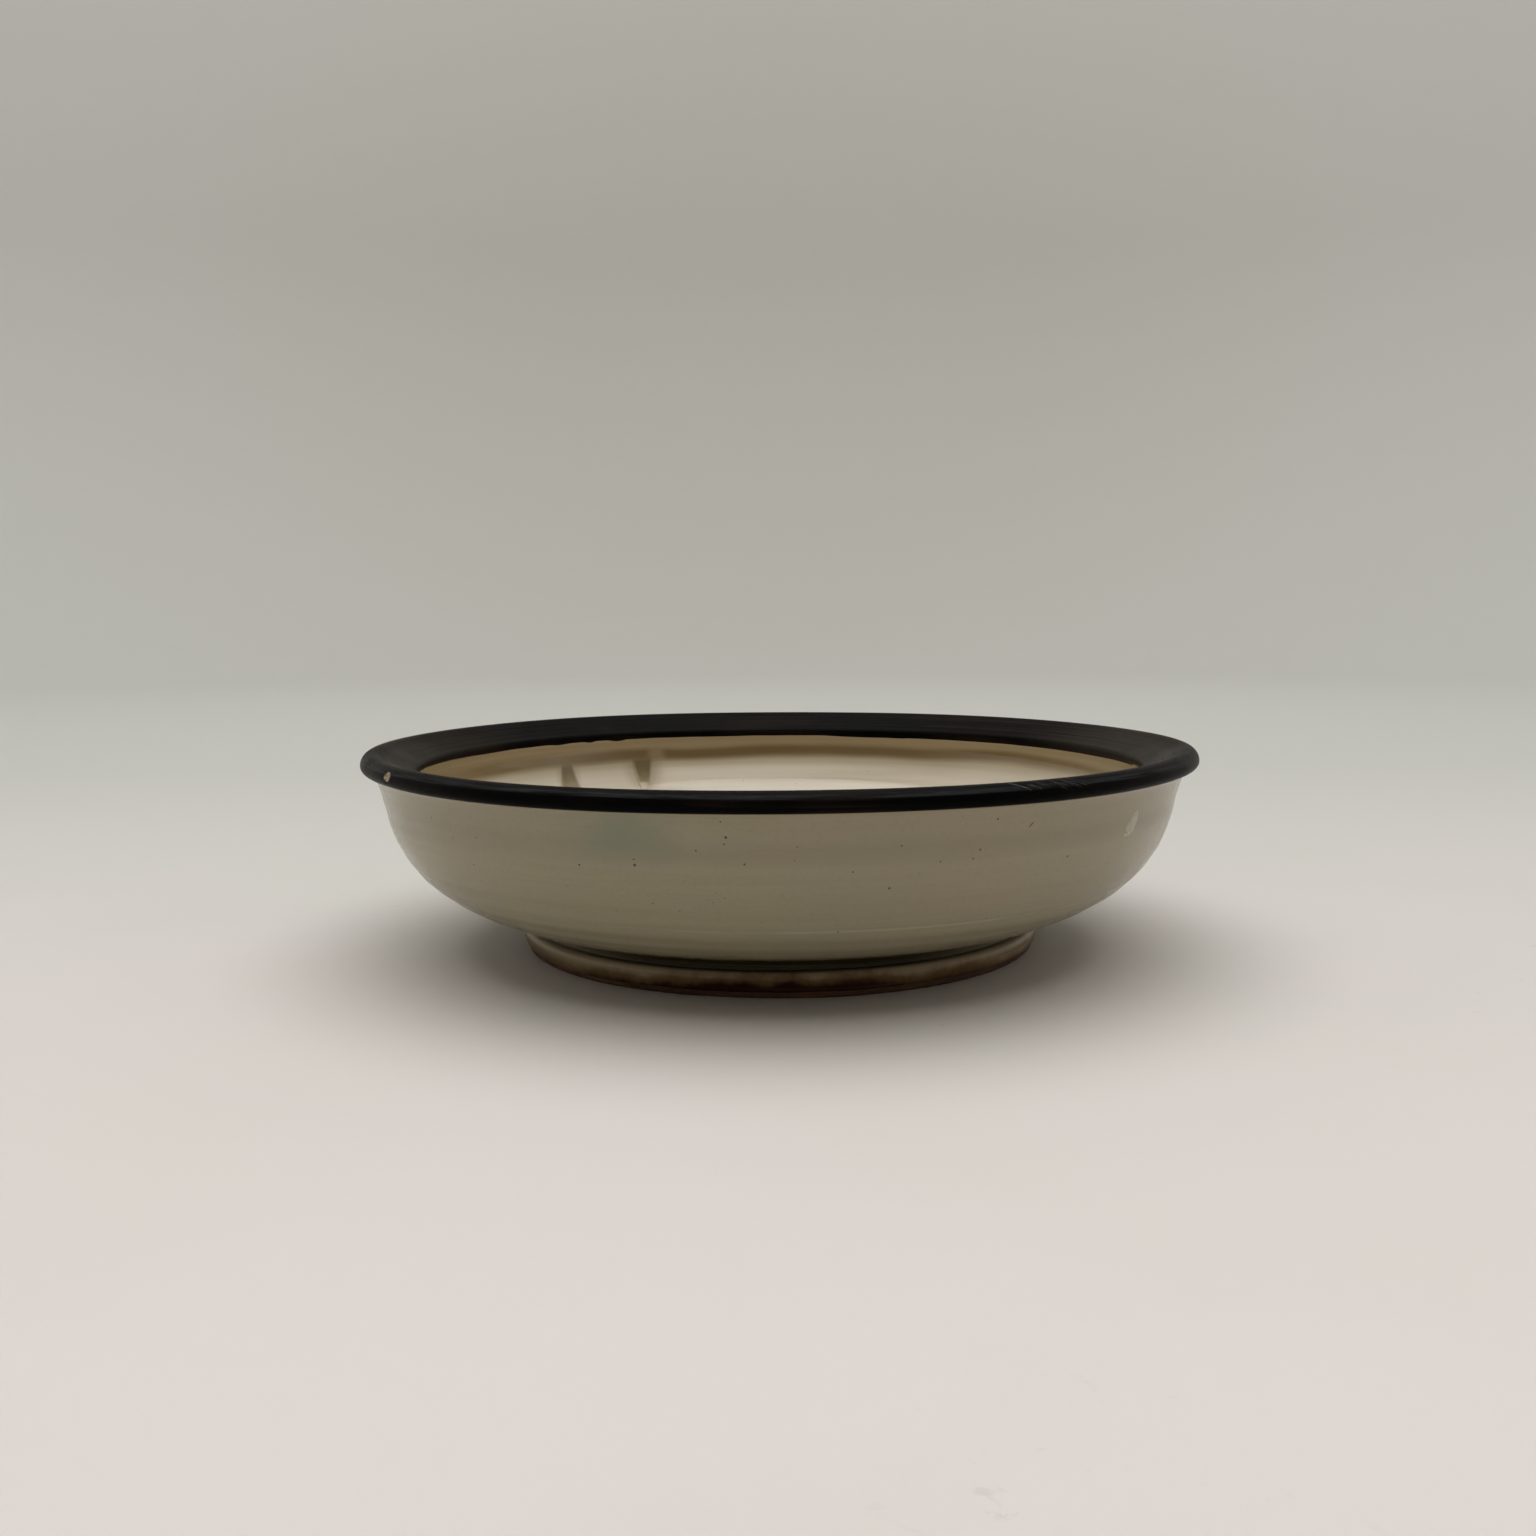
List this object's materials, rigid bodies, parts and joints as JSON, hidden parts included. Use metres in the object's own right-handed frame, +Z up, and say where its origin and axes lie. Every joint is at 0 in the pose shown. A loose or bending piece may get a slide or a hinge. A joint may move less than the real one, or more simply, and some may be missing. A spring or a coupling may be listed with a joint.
{
  "type": "bonsai pot",
  "caption": "Round, shallow, thrown bonsai pot with a flared dark lip, a pale glazed bowl and a turned foot ring, pierced for drainage and tie wires.",
  "frame": {"origin": "centre of the circle that the foot ring stands on", "axes": "+Z up along the turning axis; +X and +Y lie in the ground plane, and the two tie-wire holes lie on X"},
  "size_m": [0.15, 0.15, 0.0367],
  "materials": {
    "stoneware": "bare fired clay, matt and finely gritty",
    "foot_clay": "bare fired clay, toasted brown, worn smooth on the edge",
    "pale_glaze": "glossy pale grey-olive celadon glaze with fine iron specks",
    "iron_glaze": "satin black-brown iron glaze, worn grey along the crest",
    "amber_glaze": "glossy cream and amber glaze",
    "foot_glaze": "thin glossy glaze, broken to brown at its lower edge",
    "run_glaze": "glossy tan glaze runs"
  },
  "bodies": {
    "root": {"clay_body": "stoneware", "foot_ring": "foot_clay", "outer_glaze": "pale_glaze", "rim_glaze": "iron_glaze", "inner_glaze": "amber_glaze", "foot_glaze": "foot_glaze", "inner_glaze_runs": "run_glaze"}
  },
  "joints": []
}
